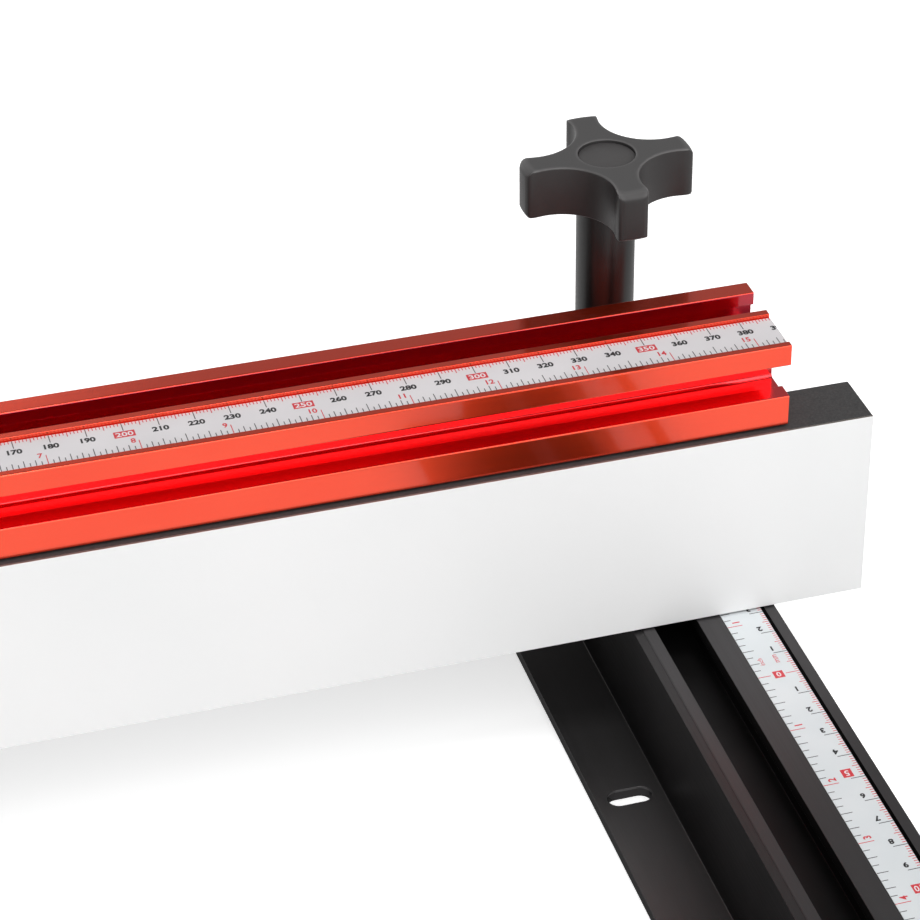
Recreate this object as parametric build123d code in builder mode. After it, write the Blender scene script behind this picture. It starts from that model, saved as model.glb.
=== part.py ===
from build123d import *
from math import sqrt
import os

# Router table fence. Two guide rails bolt to the sides of a table top. The fence bridges
# them, slides along them and is held by a tall clamp knob at each end.
# X runs along the fence, +Y towards its back and Z up, all in millimetres. The origin is on
# the floor under the rails, half way between them and half way along them.

# Guide rails, an extrusion with a T-slot in its top and a flange under the table top
rail_length = 300.0
rail_height = 41.0
rail_slot_x = 356.2
rail_slot_mouth = 13.2
rail_slot_inside = 20.0
rail_slot_lip = 4.0
rail_slot_cavity = 10.5
rail_table_lip = 6.5
rail_outer_land = 24.8
rail_wall = 3.2
rail_flange_reach = 20.6
rail_flange_thickness = 3.7
rail_edge_round = 0.5
rail_step_width = 2.8
rail_step_depth = 0.4

# Slotted holes in the flange, for the screws into the underside of the table top
table_slot_length = 13.5
table_slot_width = 6.8
table_slot_pitch = 110.0
table_slot_count = 3

# Scale tapes, on the rails and on the beam
rail_tape_width = 12.7
rail_tape_side_gap = 0.1
rail_tape_recess_depth = 0.5
rail_tape_edge_gap = 4.6
beam_tape_width = 15.0
beam_tape_side_gap = 0.4
beam_tape_recess_depth = 1.4
tape_thickness = 0.3

# Fence position at rest, and the two faces
face_front = 28.4
face_length = 389.35
face_height = 61.5
face_thickness = 20.0
laminate_thickness = 0.8
face_inner_x = 25.85
face_table_gap = 0.5
face_beam_gap = 0.6
face_back_gap = 0.3
face_relief = 12.0

# Beam, the long extrusion over the faces with a T-slot in front and another on top
beam_length = 779.0
beam_setback = 2.3
beam_depth = 37.1
beam_height = 26.8
beam_edge_round = 0.5
front_slot_mouth = 10.2
front_slot_inside = 13.8
front_slot_lip = 5.8
front_slot_cavity = 8.4
front_slot_drop = 11.9
top_slot_mouth = 9.8
top_slot_inside = 13.8
top_slot_lip = 4.0
top_slot_cavity = 8.6
top_slot_y_offset = 28.1
slot_corner_round = 1.0
beam_tape_y_offset = 12.5
beam_chamber_floor = 4.0
beam_chamber_height = 6.0
beam_chamber_wall = 4.0

# Back angle, the extrusion that carries the beam and stands on the rails
back_leg = 6.0
back_base_reach = 76.0
back_base_thickness = 8.0
back_shelf_thickness = 6.0
back_corner_round = 1.5
bit_opening_width = 90.0
bit_opening_height = 50.0
bit_opening_reach = 36.0
bit_corner_round = 10.0
beam_screw_count = 4
beam_screw_pitch = 220.0
beam_screw_hole = 5.5
beam_screw_head_flats = 8.0
beam_screw_head_height = 3.5
beam_screw_shank = 5.0
beam_screw_bite = 3.5

# Clamps at the ends, each a four-arm knob on a stud that draws a nut up in the rail's slot
clamp_y = 70.2
stud_diameter = 8.0
stud_hole = 9.0
stud_floor_gap = 1.5
stud_fit = 0.05
spacer_diameter = 17.6
clamp_washer_thickness = 1.0
clamp_height = 121.5
knob_end_float = 0.1
knob_reach = 26.0
knob_core = 12.3
knob_arm_width = 11.0
knob_thickness = 15.5
knob_rim_chamfer = 1.8
knob_bore_depth = 10.5
knob_cap_diameter = 17.0
knob_cap_recess = 2.0
knob_cap_thickness = 1.1
knob_cap_fit = 0.1
nut_width = 18.6
nut_length = 25.0
nut_thickness = 6.0
nut_gap = 0.3

# Face clamps, small faceted knobs behind the back angle on bolts held in a track in each face
face_clamp_xs = (115.0, 310.0)
face_clamp_height = 31.0
track_width = 19.0
track_depth = 9.5
track_mouth = 7.0
track_inside = 11.0
track_lip = 2.0
track_floor = 2.5
track_fit = 0.1
bolt_diameter = 6.0
bolt_hole = 6.6
bolt_head_flats = 10.0
bolt_head_height = 4.0
bolt_lip_gap = 0.3
bolt_fit = 0.05
bolt_knob_engagement = 13.0
face_knob_diameter = 28.0
face_knob_thickness = 10.0
face_knob_sides = 12
face_knob_stem_diameter = 13.0
face_knob_stem_length = 7.0

# Dust hood, a moulded shell behind the bit opening with a round spigot for a hose
hood_width = 108.0
hood_wall = 3.0
hood_throat = 28.0
hood_taper = 30.0
hood_beam_gap = 0.3
hood_corner_clearance = 0.1
hood_ear_width = 14.0
hood_ear_thickness = 3.0
hood_ear_inset = 4.0
spigot_bore = 58.0
spigot_length = 28.0
spigot_height = 45.0
spigot_plate = 72.0
hood_screw_shank = 4.0
hood_screw_hole = 4.5
hood_screw_head_flats = 7.0
hood_screw_head_height = 2.8

sides = (("right", 1), ("left", -1))
corner = (Align.MIN, Align.MIN)

# Heights and depths that several pieces share
face_back = face_front + face_thickness
back_front = face_back + face_back_gap
beam_bottom = rail_height + face_table_gap + face_height + face_beam_gap
beam_top = beam_bottom + beam_height
beam_front = face_front + beam_setback
beam_rear = beam_front + beam_depth
clamp_centre_y = face_front + clamp_y
base_top = rail_height + back_base_thickness
leg_rear = back_front + back_leg
beam_screw_y = (leg_rear + back_corner_round + beam_rear) / 2
rail_outer_x = rail_slot_x + rail_slot_mouth / 2 + rail_outer_land
rail_wall_x = rail_slot_x - rail_slot_mouth / 2 - rail_table_lip
rail_tape_x = rail_outer_x - rail_tape_edge_gap - rail_tape_width / 2
beam_tape_centre = face_front + beam_tape_y_offset
knob_bottom = rail_height + clamp_height - knob_thickness
face_clamp_z = rail_height + face_clamp_height

os.makedirs("parts", exist_ok=True)


def rectangle_from(x, y, width, height, mode=Mode.ADD):
    """A rectangle in the open sketch, placed by its lower left corner."""
    with Locations((x, y)):
        Rectangle(width, height, align=corner, mode=mode)


def knob_body(plane, reach, core, arm_width, thickness, rim_chamfer):
    """A moulded four-arm knob that stands on the plane: a disc with a bevelled top rim and four scallops."""
    tip_x = sqrt(reach**2 - (arm_width / 2) ** 2)
    diagonal = (tip_x + arm_width / 2) * sqrt(2)
    scallop = (reach**2 - diagonal * core + core**2) / (diagonal - 2 * core)
    with BuildPart() as knob:
        with BuildSketch(Plane.XZ):
            Rectangle(reach, thickness, align=corner)
            chamfer(vertices().filter_by(lambda v: v.X > reach - 0.01 and v.Y > 0.01), rim_chamfer)
        revolve(axis=Axis.Z)
        with BuildSketch(Plane.XY):
            with PolarLocations(core + scallop, 4, start_angle=45):
                Circle(scallop)
        extrude(amount=thickness, mode=Mode.SUBTRACT)
    return plane.from_local_coords(knob.part)


# Guide rail: the profile of the right one, extruded along Y, and its mirror image
with BuildPart() as guide_rail:
    with BuildSketch(Plane.XZ) as rail_section:
        rectangle_from(rail_wall_x, 0, rail_outer_x - rail_wall_x, rail_height)
        fillet(rail_section.vertices().sort_by(Axis.Y)[-2:].sort_by(Axis.X)[-1], rail_edge_round)
        rectangle_from(rail_wall_x - rail_flange_reach, 0, rail_flange_reach, rail_flange_thickness)

        # T-slot for the clamp nut
        lip_bottom = rail_height - rail_slot_lip
        slot_floor = lip_bottom - rail_slot_cavity
        slot_left = rail_slot_x - rail_slot_inside / 2
        rectangle_from(
            rail_slot_x - rail_slot_mouth / 2, lip_bottom, rail_slot_mouth, rail_slot_lip, Mode.SUBTRACT
        )
        rectangle_from(slot_left, slot_floor, rail_slot_inside, rail_slot_cavity, Mode.SUBTRACT)

        # Two hollow chambers, under the slot and under the outer land
        chamber_left = rail_wall_x + rail_wall
        rib_left = slot_left + rail_slot_inside
        rectangle_from(
            chamber_left,
            rail_flange_thickness,
            rib_left - chamber_left,
            slot_floor - rail_wall - rail_flange_thickness,
            Mode.SUBTRACT,
        )
        rectangle_from(
            rib_left + rail_wall,
            rail_flange_thickness,
            rail_outer_x - rib_left - 2 * rail_wall,
            lip_bottom - rail_flange_thickness,
            Mode.SUBTRACT,
        )

        # Shallow step on the table side, and the recess that holds the scale tape
        rectangle_from(
            rail_wall_x, rail_height - rail_step_depth, rail_step_width, rail_step_depth, Mode.SUBTRACT
        )
        rectangle_from(
            rail_tape_x - rail_tape_width / 2 - rail_tape_side_gap,
            rail_height - rail_tape_recess_depth,
            rail_tape_width + 2 * rail_tape_side_gap,
            rail_tape_recess_depth,
            Mode.SUBTRACT,
        )
    extrude(amount=rail_length / 2, both=True)

    # Slotted holes across the flange
    with BuildSketch(Plane.XY):
        with Locations((rail_wall_x - rail_flange_reach / 2, 0)):
            with GridLocations(table_slot_pitch, table_slot_pitch, 1, table_slot_count):
                SlotOverall(table_slot_length, table_slot_width)
    extrude(amount=rail_flange_thickness, mode=Mode.SUBTRACT)

# Scale tape of the right rail, in its recess
with BuildPart() as rail_scale:
    with BuildSketch(Plane.XY.offset(rail_height - rail_tape_recess_depth)):
        with Locations((rail_tape_x, 0)):
            Rectangle(rail_tape_width, rail_length)
    extrude(amount=tape_thickness)

with BuildPart() as guide_rail_left:
    add(guide_rail.part.mirror(Plane.YZ))
with BuildPart() as rail_scale_left:
    add(rail_scale.part.mirror(Plane.YZ))

guide_rail.part.label = "guide_rail_right"
export_step(guide_rail.part, "parts/guide_rail_right.step")
guide_rail_left.part.label = "guide_rail_left"
export_step(guide_rail_left.part, "parts/guide_rail_left.step")
rail_scale.part.label = "rail_scale_right"
export_step(rail_scale.part, "parts/rail_scale_right.step")
rail_scale_left.part.label = "rail_scale_left"
export_step(rail_scale_left.part, "parts/rail_scale_left.step")

# Beam: a profile across Y and Z, extruded along X
with BuildPart() as fence_beam:
    with BuildSketch(Plane.YZ.offset(-beam_length / 2)) as beam_section:
        rectangle_from(beam_front, beam_bottom, beam_depth, beam_height)

        # Front T-slot
        front_slot_z = beam_top - front_slot_drop
        front_cavity_y = beam_front + front_slot_lip
        rectangle_from(
            beam_front, front_slot_z - front_slot_mouth / 2, front_slot_lip, front_slot_mouth, Mode.SUBTRACT
        )
        rectangle_from(
            front_cavity_y,
            front_slot_z - front_slot_inside / 2,
            front_slot_cavity,
            front_slot_inside,
            Mode.SUBTRACT,
        )

        # Top T-slot
        top_slot_y = face_front + top_slot_y_offset
        top_cavity_z = beam_top - top_slot_lip - top_slot_cavity
        rectangle_from(
            top_slot_y - top_slot_mouth / 2,
            beam_top - top_slot_lip,
            top_slot_mouth,
            top_slot_lip,
            Mode.SUBTRACT,
        )
        rectangle_from(
            top_slot_y - top_slot_inside / 2, top_cavity_z, top_slot_inside, top_slot_cavity, Mode.SUBTRACT
        )

        # Rounded outside corners, slot lips and slot floors
        outside = beam_section.vertices().filter_by(
            lambda v: v.X < beam_front + 0.01 or v.X > beam_rear - 0.01 or v.Y > beam_top - 0.01
        )
        fillet(outside, beam_edge_round)
        floors = beam_section.vertices().filter_by(
            lambda v: abs(v.X - front_cavity_y - front_slot_cavity) < 0.01 or abs(v.Y - top_cavity_z) < 0.01
        )
        fillet(floors, slot_corner_round)

        # Hollow chamber under the top slot, and the recess that holds the scale tape
        rectangle_from(
            top_slot_y - top_slot_inside / 2,
            beam_bottom + beam_chamber_floor,
            beam_rear - beam_chamber_wall - top_slot_y + top_slot_inside / 2,
            beam_chamber_height,
            Mode.SUBTRACT,
        )
        rectangle_from(
            beam_tape_centre - beam_tape_width / 2 - beam_tape_side_gap,
            beam_top - beam_tape_recess_depth,
            beam_tape_width + 2 * beam_tape_side_gap,
            beam_tape_recess_depth,
            Mode.SUBTRACT,
        )
    extrude(amount=beam_length)

    # Threaded holes in the underside for the screws that hold the beam
    with BuildSketch(Plane.XY.offset(beam_bottom)):
        with Locations((0, beam_screw_y)):
            with GridLocations(beam_screw_pitch, beam_screw_pitch, beam_screw_count, 1):
                Circle(beam_screw_shank / 2 + stud_fit)
    extrude(amount=beam_screw_bite + 0.2, mode=Mode.SUBTRACT)
fence_beam.part.label = "fence_beam"
export_step(fence_beam.part, "parts/fence_beam.step")

# Scale tapes of the beam, one to each side of the middle
for side, hand in sides:
    with BuildPart() as fence_scale:
        with BuildSketch(Plane.XY.offset(beam_top - beam_tape_recess_depth)):
            with Locations((hand * beam_length / 4, beam_tape_centre)):
                Rectangle(beam_length / 2, beam_tape_width)
        extrude(amount=tape_thickness)
    fence_scale.part.label = f"fence_scale_{side}"
    export_step(fence_scale.part, f"parts/fence_scale_{side}.step")

# Back angle: leg behind the faces, base on the rails and shelf under the beam
with BuildPart() as fence_back:
    with BuildSketch(Plane.YZ.offset(-beam_length / 2)) as back_section:
        rectangle_from(back_front, rail_height, back_leg, beam_bottom - rail_height)
        rectangle_from(back_front, rail_height, back_base_reach, back_base_thickness)
        shelf_z = beam_bottom - back_shelf_thickness
        rectangle_from(back_front, shelf_z, beam_rear - back_front, back_shelf_thickness)
        inside_corners = back_section.vertices().filter_by(
            lambda v: abs(v.X - leg_rear) < 0.01 and rail_height + 0.01 < v.Y < beam_bottom - 0.01
        )
        fillet(inside_corners, back_corner_round)
    extrude(amount=beam_length)

    # Opening for the cutter, through the leg and into the base
    with BuildSketch(Plane.XZ.offset(-back_front)) as bit_window:
        with Locations((0, rail_height)):
            Rectangle(bit_opening_width, bit_opening_height, align=(Align.CENTER, Align.MIN))
        fillet(
            bit_window.vertices().filter_by(lambda v: v.Y > rail_height + bit_opening_height / 2),
            bit_corner_round,
        )
    extrude(amount=-back_leg - back_corner_round, mode=Mode.SUBTRACT)
    with BuildSketch(Plane.XY.offset(rail_height)) as base_notch:
        with Locations((0, back_front)):
            Rectangle(bit_opening_width, bit_opening_reach, align=(Align.CENTER, Align.MIN))
        fillet(base_notch.vertices().filter_by(lambda v: v.Y > back_front + 0.01), bit_corner_round)
    extrude(amount=back_base_thickness, mode=Mode.SUBTRACT)

    # Holes for the clamp studs, the beam screws, the face bolts and the hood screws
    with BuildSketch(Plane.XY.offset(rail_height)):
        with GridLocations(2 * rail_slot_x, 1, 2, 1):
            with Locations((0, clamp_centre_y)):
                Circle(stud_hole / 2)
    extrude(amount=back_base_thickness, mode=Mode.SUBTRACT)
    with BuildSketch(Plane.XY.offset(shelf_z)):
        with Locations((0, beam_screw_y)):
            with GridLocations(beam_screw_pitch, beam_screw_pitch, beam_screw_count, 1):
                Circle(beam_screw_hole / 2)
    extrude(amount=back_shelf_thickness, mode=Mode.SUBTRACT)
    with BuildSketch(Plane.XZ.offset(-back_front)):
        for clamp_x in face_clamp_xs:
            with GridLocations(2 * clamp_x, 1, 2, 1):
                with Locations((0, face_clamp_z)):
                    Circle(bolt_hole / 2)
        hood_screw_x = hood_width / 2 + hood_ear_width / 2
        hood_screw_z = (base_top + shelf_z) / 2
        with Locations((0, hood_screw_z)):
            with GridLocations(2 * hood_screw_x, 1, 2, 1):
                Circle(hood_screw_hole / 2)
    extrude(amount=-back_leg, mode=Mode.SUBTRACT)
fence_back.part.label = "fence_back"
export_step(fence_back.part, "parts/fence_back.step")

# Screws up through the shelf into the beam
with BuildPart() as beam_screws:
    with BuildSketch(Plane.XY.offset(shelf_z)):
        with Locations((0, beam_screw_y)):
            with GridLocations(beam_screw_pitch, beam_screw_pitch, beam_screw_count, 1):
                RegularPolygon(beam_screw_head_flats / 2, 6, major_radius=False)
    extrude(amount=-beam_screw_head_height)
    with BuildSketch(Plane.XY.offset(shelf_z)):
        with Locations((0, beam_screw_y)):
            with GridLocations(beam_screw_pitch, beam_screw_pitch, beam_screw_count, 1):
                Circle(beam_screw_shank / 2)
    extrude(amount=back_shelf_thickness + beam_screw_bite)
beam_screws.part.label = "beam_screws"
export_step(beam_screws.part, "parts/beam_screws.step")

# Dust hood: throat behind the leg, taper, plate and spigot, hollow all the way
throat_height = shelf_z - hood_beam_gap - base_top
throat_centre_z = base_top + throat_height / 2
taper_y = leg_rear + hood_throat
spigot_y = taper_y + hood_taper
spigot_centre_z = rail_height + spigot_height


def hood_duct(width, height, plate, end_y):
    """A duct that runs straight back from the leg and then tapers to a square end."""
    low = throat_centre_z - height / 2
    high = throat_centre_z + height / 2
    side_view = [
        (leg_rear, low),
        (taper_y, low),
        (end_y, spigot_centre_z - plate / 2),
        (end_y, spigot_centre_z + plate / 2),
        (taper_y, high),
        (leg_rear, high),
    ]
    top_view = [
        (-width / 2, leg_rear),
        (width / 2, leg_rear),
        (width / 2, taper_y),
        (plate / 2, end_y),
        (-plate / 2, end_y),
        (-width / 2, taper_y),
    ]
    with BuildPart() as duct:
        with BuildSketch(Plane.YZ):
            Polygon(*side_view, align=None)
        extrude(amount=width / 2, both=True)
        with BuildSketch(Plane.XY):
            Polygon(*top_view, align=None)
        extrude(amount=spigot_centre_z + plate / 2, mode=Mode.INTERSECT)
    return duct.part


with BuildPart() as dust_hood:
    # Outside of the throat and the taper, bevelled to clear the back angle's inside corners
    add(hood_duct(hood_width, throat_height, spigot_plate, spigot_y))
    front_edges = edges().filter_by(Axis.X).group_by(Axis.Y)[0]
    chamfer(front_edges, back_corner_round + hood_corner_clearance)

    # Ears that lie on the back of the leg
    with BuildSketch(Plane.XZ.offset(-leg_rear)) as ears:
        with Locations((0, throat_centre_z)):
            Rectangle(hood_width + 2 * hood_ear_width, throat_height - 2 * hood_ear_inset)
            chamfer(ears.vertices(), hood_ear_inset)
    extrude(amount=-hood_ear_thickness)

    # Inside of both, closed by the plate that carries the spigot
    bore_width = hood_width - 2 * hood_wall
    bore_height = throat_height - 2 * hood_wall
    inner_plate = spigot_plate - 2 * hood_wall
    add(hood_duct(bore_width, bore_height, inner_plate, spigot_y - hood_wall), mode=Mode.SUBTRACT)

    # Spigot and its bore
    with BuildSketch(Plane.XZ.offset(-spigot_y)):
        with Locations((0, spigot_centre_z)):
            Circle(spigot_bore / 2 + hood_wall)
    extrude(amount=-spigot_length)
    with BuildSketch(Plane.XZ.offset(hood_wall - spigot_y)):
        with Locations((0, spigot_centre_z)):
            Circle(spigot_bore / 2)
    extrude(amount=-spigot_length - hood_wall, mode=Mode.SUBTRACT)

    # Open floor over the notch in the base, and the screw holes
    with BuildSketch(Plane.XY.offset(base_top)):
        with Locations((0, leg_rear)):
            Rectangle(bore_width, hood_throat - hood_wall, align=(Align.CENTER, Align.MIN))
    extrude(amount=hood_wall + 1, mode=Mode.SUBTRACT)
    with BuildSketch(Plane.XZ.offset(-leg_rear)):
        with Locations((0, hood_screw_z)):
            with GridLocations(2 * hood_screw_x, 1, 2, 1):
                Circle(hood_screw_hole / 2)
    extrude(amount=-hood_ear_thickness, mode=Mode.SUBTRACT)
dust_hood.part.label = "dust_hood"
export_step(dust_hood.part, "parts/dust_hood.step")

# Screws that hold the hood's ears to the leg
with BuildPart() as hood_screws:
    ear_face = leg_rear + hood_ear_thickness
    with BuildSketch(Plane.XZ.offset(-ear_face)):
        with Locations((0, hood_screw_z)):
            with GridLocations(2 * hood_screw_x, 1, 2, 1):
                RegularPolygon(hood_screw_head_flats / 2, 6, major_radius=False)
    extrude(amount=-hood_screw_head_height)
    with BuildSketch(Plane.XZ.offset(-ear_face)):
        with Locations((0, hood_screw_z)):
            with GridLocations(2 * hood_screw_x, 1, 2, 1):
                Circle(hood_screw_shank / 2)
    extrude(amount=hood_ear_thickness + back_leg)
hood_screws.part.label = "hood_screws"
export_step(hood_screws.part, "parts/hood_screws.step")

# Clamps: spacer, washer, knob, cap, stud and nut at each end
clamp_washer_top = knob_bottom - knob_end_float
spacer_top = clamp_washer_top - clamp_washer_thickness
nut_top = rail_height - rail_slot_lip - nut_gap
with BuildPart() as clamp_spacers:
    with BuildSketch(Plane.XY.offset(base_top)):
        with Locations((0, clamp_centre_y)):
            with GridLocations(2 * rail_slot_x, 1, 2, 1):
                Circle(spacer_diameter / 2)
                Circle(stud_hole / 2, mode=Mode.SUBTRACT)
    extrude(amount=spacer_top - base_top)
clamp_spacers.part.label = "clamp_spacers"
export_step(clamp_spacers.part, "parts/clamp_spacers.step")

with BuildPart() as clamp_washers:
    with BuildSketch(Plane.XY.offset(spacer_top)):
        with Locations((0, clamp_centre_y)):
            with GridLocations(2 * rail_slot_x, 1, 2, 1):
                Circle(spacer_diameter / 2)
                Circle(stud_hole / 2, mode=Mode.SUBTRACT)
    extrude(amount=clamp_washer_thickness)
clamp_washers.part.label = "clamp_washers"
export_step(clamp_washers.part, "parts/clamp_washers.step")

for side, hand in sides:
    clamp_axis = (hand * rail_slot_x, clamp_centre_y)

    knob_plane = Plane((clamp_axis[0], clamp_axis[1], knob_bottom))
    with BuildPart() as clamp_knob:
        add(
            knob_body(
                knob_plane, knob_reach, knob_core, knob_arm_width, knob_thickness, knob_rim_chamfer
            )
        )
        with BuildSketch(knob_plane):
            Circle(stud_diameter / 2 + stud_fit)
        extrude(amount=knob_bore_depth, mode=Mode.SUBTRACT)
        with BuildSketch(knob_plane.offset(knob_thickness)):
            Circle(knob_cap_diameter / 2)
        extrude(amount=-knob_cap_recess, mode=Mode.SUBTRACT)
    clamp_knob.part.label = f"clamp_knob_{side}"
    export_step(clamp_knob.part, f"parts/clamp_knob_{side}.step")

    with BuildPart() as knob_cap:
        with BuildSketch(knob_plane.offset(knob_thickness - knob_cap_recess)):
            Circle(knob_cap_diameter / 2 - knob_cap_fit)
        extrude(amount=knob_cap_thickness)
    knob_cap.part.label = f"knob_cap_{side}"
    export_step(knob_cap.part, f"parts/knob_cap_{side}.step")

    stud_bottom = rail_height - rail_slot_lip - rail_slot_cavity + stud_floor_gap
    with BuildPart() as clamp_stud:
        with BuildSketch(Plane.XY.offset(stud_bottom)):
            with Locations(clamp_axis):
                Circle(stud_diameter / 2)
        extrude(amount=knob_bottom + knob_bore_depth - stud_bottom)
        chamfer(edges().group_by(Axis.Z)[0], stud_diameter / 8)
    clamp_stud.part.label = f"clamp_stud_{side}"
    export_step(clamp_stud.part, f"parts/clamp_stud_{side}.step")

    with BuildPart() as clamp_nut:
        with BuildSketch(Plane.XY.offset(nut_top - nut_thickness)):
            with Locations(clamp_axis):
                Rectangle(nut_width, nut_length)
        extrude(amount=nut_thickness)
        with BuildSketch(Plane.XY.offset(nut_top - nut_thickness)):
            with Locations(clamp_axis):
                Circle(stud_diameter / 2 + stud_fit)
        extrude(amount=nut_thickness, mode=Mode.SUBTRACT)
    clamp_nut.part.label = f"clamp_nut_{side}"
    export_step(clamp_nut.part, f"parts/clamp_nut_{side}.step")

# Faces: a board with a white laminate in front and a bolt track let into its back
core_front = face_front + laminate_thickness
board_bottom = rail_height + face_table_gap
track_back = face_back
track_front = track_back - track_depth
with BuildPart() as face_board:
    with BuildSketch(Plane.XY.offset(board_bottom)) as board_plan:
        rectangle_from(face_inner_x, core_front, face_length, face_thickness - laminate_thickness)
        inner_back = board_plan.vertices().sort_by_distance((face_inner_x, face_back, board_bottom))[0]
        chamfer(inner_back, face_relief)
    extrude(amount=face_height)
    with BuildSketch(Plane.XZ.offset(-face_back)):
        with Locations((face_inner_x, face_clamp_z)):
            Rectangle(face_length, track_width + 2 * track_fit, align=(Align.MIN, Align.CENTER))
    extrude(amount=track_depth + track_fit, mode=Mode.SUBTRACT)

with BuildPart() as face_laminate:
    with BuildSketch(Plane.XZ.offset(-core_front)):
        with Locations((face_inner_x, board_bottom)):
            Rectangle(face_length, face_height, align=corner)
    extrude(amount=laminate_thickness)

with BuildPart() as face_track:
    with BuildSketch(Plane.YZ.offset(face_inner_x + face_relief)):
        with Locations((track_front, face_clamp_z)):
            Rectangle(track_depth, track_width, align=(Align.MIN, Align.CENTER))
        with Locations((track_front + track_floor, face_clamp_z)):
            Rectangle(
                track_depth - track_floor - track_lip,
                track_inside,
                align=(Align.MIN, Align.CENTER),
                mode=Mode.SUBTRACT,
            )
        with Locations((track_back, face_clamp_z)):
            Rectangle(track_lip, track_mouth, align=(Align.MAX, Align.CENTER), mode=Mode.SUBTRACT)
    extrude(amount=face_length - face_relief)

with BuildPart() as face_board_left:
    add(face_board.part.mirror(Plane.YZ))
with BuildPart() as face_laminate_left:
    add(face_laminate.part.mirror(Plane.YZ))
with BuildPart() as face_track_left:
    add(face_track.part.mirror(Plane.YZ))

face_board.part.label = "face_board_right"
export_step(face_board.part, "parts/face_board_right.step")
face_board_left.part.label = "face_board_left"
export_step(face_board_left.part, "parts/face_board_left.step")
face_laminate.part.label = "face_laminate_right"
export_step(face_laminate.part, "parts/face_laminate_right.step")
face_laminate_left.part.label = "face_laminate_left"
export_step(face_laminate_left.part, "parts/face_laminate_left.step")
face_track.part.label = "face_track_right"
export_step(face_track.part, "parts/face_track_right.step")
face_track_left.part.label = "face_track_left"
export_step(face_track_left.part, "parts/face_track_left.step")

# Face clamps: bolts held in the tracks, and a small knob behind the leg on each bolt
bolt_head_back = track_back - track_lip - bolt_lip_gap
face_knob_front = leg_rear + knob_end_float
bolt_end = face_knob_front + bolt_knob_engagement
bolt_places = [(hand * clamp_x, face_clamp_z) for side, hand in sides for clamp_x in face_clamp_xs]
with BuildPart() as face_bolts:
    with BuildSketch(Plane.XZ.offset(-bolt_head_back)):
        with Locations(*bolt_places):
            RegularPolygon(bolt_head_flats / 2, 6, major_radius=False)
    extrude(amount=bolt_head_height)
    with BuildSketch(Plane.XZ.offset(-bolt_head_back)):
        with Locations(*bolt_places):
            Circle(bolt_diameter / 2)
    extrude(amount=-(bolt_end - bolt_head_back))
face_bolts.part.label = "face_bolts"
export_step(face_bolts.part, "parts/face_bolts.step")

for side, hand in sides:
    for place, clamp_x in zip(("inner", "outer"), face_clamp_xs):
        stem_plane = Plane(
            origin=(hand * clamp_x, face_knob_front, face_clamp_z), x_dir=(1, 0, 0), z_dir=(0, 1, 0)
        )
        with BuildPart() as face_knob:
            with BuildSketch(stem_plane.offset(face_knob_stem_length)):
                RegularPolygon(face_knob_diameter / 2, face_knob_sides)
            extrude(amount=face_knob_thickness)
            with BuildSketch(stem_plane):
                Circle(face_knob_stem_diameter / 2)
            extrude(amount=face_knob_stem_length)
            with BuildSketch(stem_plane):
                Circle(bolt_diameter / 2 + bolt_fit)
            extrude(amount=bolt_knob_engagement + 1, mode=Mode.SUBTRACT)
        face_knob.part.label = f"face_knob_{side}_{place}"
        export_step(face_knob.part, f"parts/face_knob_{side}_{place}.step")
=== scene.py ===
import math
from functools import partial

import bmesh
import bpy
from mathutils import Matrix, Vector


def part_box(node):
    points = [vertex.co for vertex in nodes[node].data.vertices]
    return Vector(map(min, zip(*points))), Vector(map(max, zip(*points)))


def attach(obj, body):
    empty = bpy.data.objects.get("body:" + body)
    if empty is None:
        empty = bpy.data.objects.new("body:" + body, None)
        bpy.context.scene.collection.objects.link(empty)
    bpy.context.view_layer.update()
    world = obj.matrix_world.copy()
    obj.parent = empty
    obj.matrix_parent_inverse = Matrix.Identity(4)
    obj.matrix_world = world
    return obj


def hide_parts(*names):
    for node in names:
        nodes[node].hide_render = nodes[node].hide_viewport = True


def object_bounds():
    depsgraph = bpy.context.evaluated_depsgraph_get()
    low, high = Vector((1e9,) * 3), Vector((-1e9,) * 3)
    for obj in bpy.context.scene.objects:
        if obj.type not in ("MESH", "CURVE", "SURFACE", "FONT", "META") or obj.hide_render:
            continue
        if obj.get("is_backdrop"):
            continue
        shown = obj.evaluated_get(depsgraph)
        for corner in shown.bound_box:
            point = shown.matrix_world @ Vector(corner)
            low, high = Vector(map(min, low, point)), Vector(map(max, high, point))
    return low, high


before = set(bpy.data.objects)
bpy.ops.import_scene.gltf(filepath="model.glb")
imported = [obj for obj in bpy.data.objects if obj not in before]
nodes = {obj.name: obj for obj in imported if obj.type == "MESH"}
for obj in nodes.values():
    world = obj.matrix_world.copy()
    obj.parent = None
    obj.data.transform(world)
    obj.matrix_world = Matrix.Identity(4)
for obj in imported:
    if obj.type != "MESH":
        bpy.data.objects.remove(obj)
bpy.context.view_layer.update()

MM = 0.001
INCH = 0.0254
SIDES = {"right": 1, "left": -1}

scene = bpy.context.scene
scene.view_settings.view_transform = "Standard"


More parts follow.
